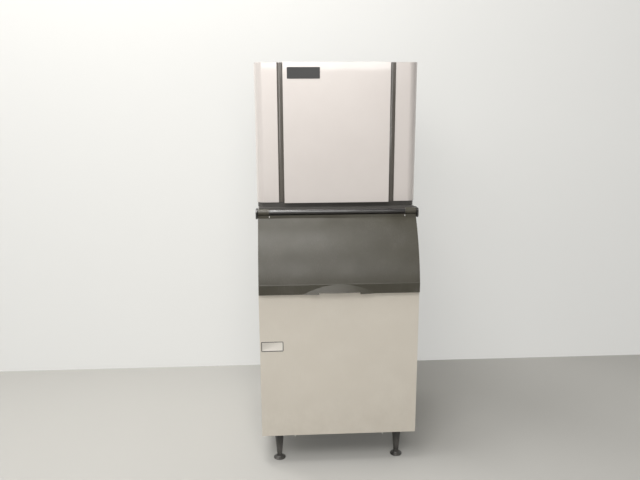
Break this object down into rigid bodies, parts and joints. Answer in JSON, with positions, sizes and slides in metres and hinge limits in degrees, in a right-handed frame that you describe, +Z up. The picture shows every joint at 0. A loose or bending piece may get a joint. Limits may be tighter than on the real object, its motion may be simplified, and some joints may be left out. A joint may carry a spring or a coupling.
{
  "type": "modular ice cube machine on storage bin",
  "caption": "Cuber head with a proud steel front panel on an insulated ice bin with a curved lift-up door, hinge bar, levelling legs and working inner parts.",
  "frame": {"origin": "on the floor, under the middle of the machine's overall box", "axes": "+Z up along the height, front faces -Y, +X to the right seen from the front"},
  "size_m": [0.78, 0.796, 1.948],
  "materials": {
    "bin_paint": "satin beige-grey enamel",
    "galvanised": "galvanised sheet",
    "foam": "rigid foam, matte",
    "liner_white": "smooth white moulding",
    "stainless": "brushed",
    "clear_plastic": "milky plastic",
    "leg_black": "black coat",
    "gloss_black": "gloss black",
    "door_plastic": "dark grey moulding with a soft sheen",
    "label_pale": "blank label",
    "screw_steel": "bright zinc",
    "base_plastic": "dark moulding",
    "strip_grey": "mid grey moulding with a soft sheen",
    "satin_steel": "fine satin finish",
    "brass": "machined",
    "badge_dark": "blank plate",
    "nickel": "nickel plated copper",
    "copper": "drawn copper tube",
    "rubber_black": "matte",
    "compressor_black": "black enamel",
    "fin_aluminium": "mill finish"
  },
  "bodies": {
    "cabinet": {"bin_wrapper": "bin_paint", "bin_back_panel": "galvanised", "bin_base_pan": "galvanised", "bin_insulation": "foam", "bin_liner": "liner_white", "bin_deck": "stainless", "ice_baffle": "clear_plastic", "legs": "leg_black", "hinge_bar": "gloss_black", "hinge_plates": "leg_black", "bin_label": "label_pale", "bin_screws": "screw_steel", "head_base": "base_plastic", "left_side_panel": "satin_steel", "right_side_panel": "satin_steel", "trim_strips": "strip_grey", "front_panel": "satin_steel", "top_panel": "satin_steel", "head_back_panel": "galvanised", "freezing_back_panel": "galvanised", "water_fittings": "brass", "head_badge": "badge_dark", "divider": "stainless", "evaporator_wall": "liner_white", "evaporator": "nickel", "evaporator_coil": "copper", "water_distributor": "liner_white", "supply_tube": "clear_plastic", "curtain_brackets": "liner_white", "water_trough": "liner_white", "pump": "base_plastic", "float_valve": "liner_white", "compressor_grommets": "rubber_black", "compressor": "compressor_black", "condenser": "fin_aluminium", "fan_shroud": "galvanised", "fan_motor": "compressor_black", "discharge_line": "copper", "liquid_line": "copper", "filter_drier": "copper", "feed_line": "copper", "expansion_valve": "brass", "suction_line": "copper", "hot_gas_valve": "brass", "hot_gas_line": "copper", "control_box": "galvanised", "control_box_cover": "galvanised", "switch_body": "base_plastic", "cabinet_screws": "screw_steel"},
    "door": {"bin_door": "door_plastic"},
    "curtain": {"water_curtain": "clear_plastic"},
    "fan": {"fan_blade": "fin_aluminium"},
    "impeller": {"pump_impeller": "liner_white"},
    "float": {"float_arm": "liner_white"},
    "selector": {"selector_switch": "gloss_black"},
    "foot_front_left": {"foot_front_left": "leg_black"},
    "foot_front_right": {"foot_front_right": "leg_black"},
    "foot_rear_left": {"foot_rear_left": "leg_black"},
    "foot_rear_right": {"foot_rear_right": "leg_black"}
  },
  "joints": [
    {"name": "door_swing", "type": "hinge", "parent": "cabinet", "child": "door", "pos_m": [0, -0.238, 1.254], "axis": [-1, 0, 0], "range_deg": [0, 155]},
    {"name": "curtain_swing", "type": "hinge", "parent": "cabinet", "child": "curtain", "pos_m": [0, 0.096, 1.862], "axis": [-1, 0, 0], "range_deg": [0, 28]},
    {"name": "fan_spin", "type": "hinge", "parent": "cabinet", "child": "fan", "pos_m": [0.195, 0.295, 1.46], "axis": [0, 1, 0], "continuous": true},
    {"name": "impeller_spin", "type": "hinge", "parent": "cabinet", "child": "impeller", "pos_m": [-0.08, 0.205, 1.33], "axis": [0, 0, 1], "continuous": true},
    {"name": "float_rise", "type": "hinge", "parent": "cabinet", "child": "float", "pos_m": [-0.292, 0.205, 1.406], "axis": [0, -1, 0], "range_deg": [0, 15]},
    {"name": "selector_tip", "type": "hinge", "parent": "cabinet", "child": "selector", "pos_m": [0.12, -0.136, 1.8], "axis": [1, 0, 0], "range_deg": [-18, 18]},
    {"name": "foot_turn_front_left", "type": "hinge", "parent": "cabinet", "child": "foot_front_left", "pos_m": [-0.298, -0.305, 0.03], "axis": [0, 0, 1], "continuous": true},
    {"name": "foot_turn_front_right", "type": "hinge", "parent": "cabinet", "child": "foot_front_right", "pos_m": [0.298, -0.305, 0.03], "axis": [0, 0, 1], "continuous": true},
    {"name": "foot_turn_rear_left", "type": "hinge", "parent": "cabinet", "child": "foot_rear_left", "pos_m": [-0.298, 0.325, 0.03], "axis": [0, 0, 1], "continuous": true},
    {"name": "foot_turn_rear_right", "type": "hinge", "parent": "cabinet", "child": "foot_rear_right", "pos_m": [0.298, 0.325, 0.03], "axis": [0, 0, 1], "continuous": true}
  ]
}
